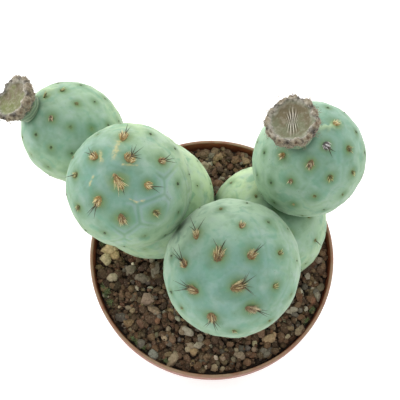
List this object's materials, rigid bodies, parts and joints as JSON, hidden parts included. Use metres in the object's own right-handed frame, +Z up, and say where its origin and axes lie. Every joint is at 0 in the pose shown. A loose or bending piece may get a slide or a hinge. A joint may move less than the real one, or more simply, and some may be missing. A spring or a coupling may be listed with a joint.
{
  "type": "potted ball cactus",
  "caption": "Round plastic pot filled with stony soil, holding a cactus of stacked ball-shaped stem segments with cup-shaped fruits; stands on a table or sill as a plant.",
  "frame": {"origin": "middle of the pot's underside, on the surface the pot stands on", "axes": "+Z up along the pot's axis, out of its mouth; -Y is the side of the front segment, +X the side of the right top segment"},
  "size_m": [0.1481, 0.1193, 0.187],
  "materials": {
    "pot": "satin moulded plastic",
    "soil": "loose mineral gravel, matte",
    "segment_base": "waxy plant skin, matte",
    "segment_left_low": "waxy plant skin, matte",
    "segment_front": "waxy plant skin, matte",
    "segment_left_top": "waxy plant skin, matte",
    "segment_right_top": "waxy plant skin, matte",
    "segment_left_outer": "waxy plant skin, matte",
    "fruit_right": "dry woolly skin",
    "fruit_left": "dry woolly skin"
  },
  "bodies": {
    "root": {"pot": "pot", "soil": "soil", "segment_base": "segment_base", "segment_left_low": "segment_left_low", "segment_front": "segment_front", "segment_left_top": "segment_left_top", "segment_right_top": "segment_right_top", "segment_left_outer": "segment_left_outer", "fruit_right": "fruit_right", "fruit_left": "fruit_left"}
  },
  "joints": []
}
